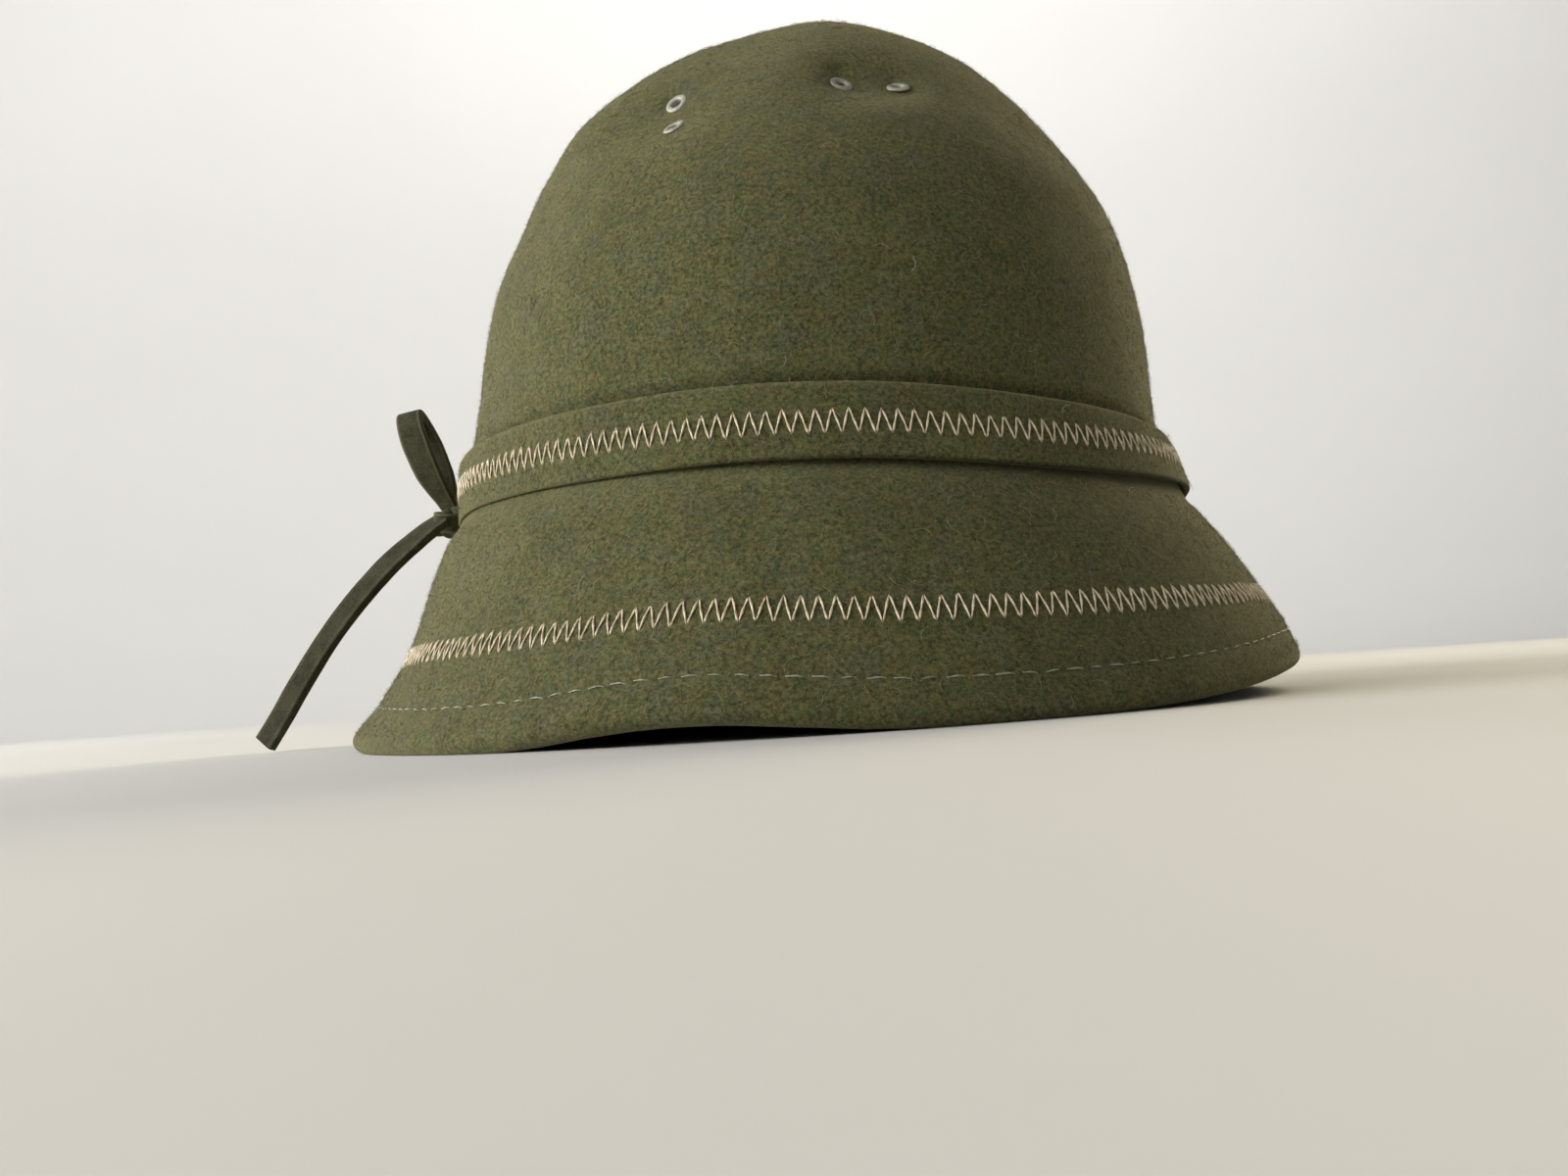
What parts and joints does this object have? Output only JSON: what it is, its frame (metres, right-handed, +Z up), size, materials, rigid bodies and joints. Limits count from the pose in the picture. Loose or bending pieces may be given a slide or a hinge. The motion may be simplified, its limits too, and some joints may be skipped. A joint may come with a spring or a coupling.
{
  "type": "wool felt bucket hat",
  "caption": "Round-crowned wool felt hat with a short sloping brim, turned-under hem, felt band with a half bow at the side, and small metal eyelets; worn on the head.",
  "frame": {"origin": "middle of the hat's whole footprint, bow tail included, on the surface it rests on", "axes": "+Z up through the crown, -Y towards the wearer's front, -X towards the side with the bow"},
  "size_m": [0.2606, 0.2456, 0.1675],
  "materials": {
    "felt": "matt mottled olive wool felt",
    "bow_felt": "matt smooth dark olive felt strip",
    "eyelet_metal": "satin off-white metal"
  },
  "bodies": {
    "root": {"crown_and_brim": "felt", "hat_band": "felt", "bow_knot": "bow_felt", "bow_loop": "bow_felt", "bow_tail": "bow_felt", "eyelet_side_upper": "eyelet_metal", "eyelet_side_lower": "eyelet_metal", "eyelet_front_left": "eyelet_metal", "eyelet_front_right": "eyelet_metal"}
  },
  "joints": []
}
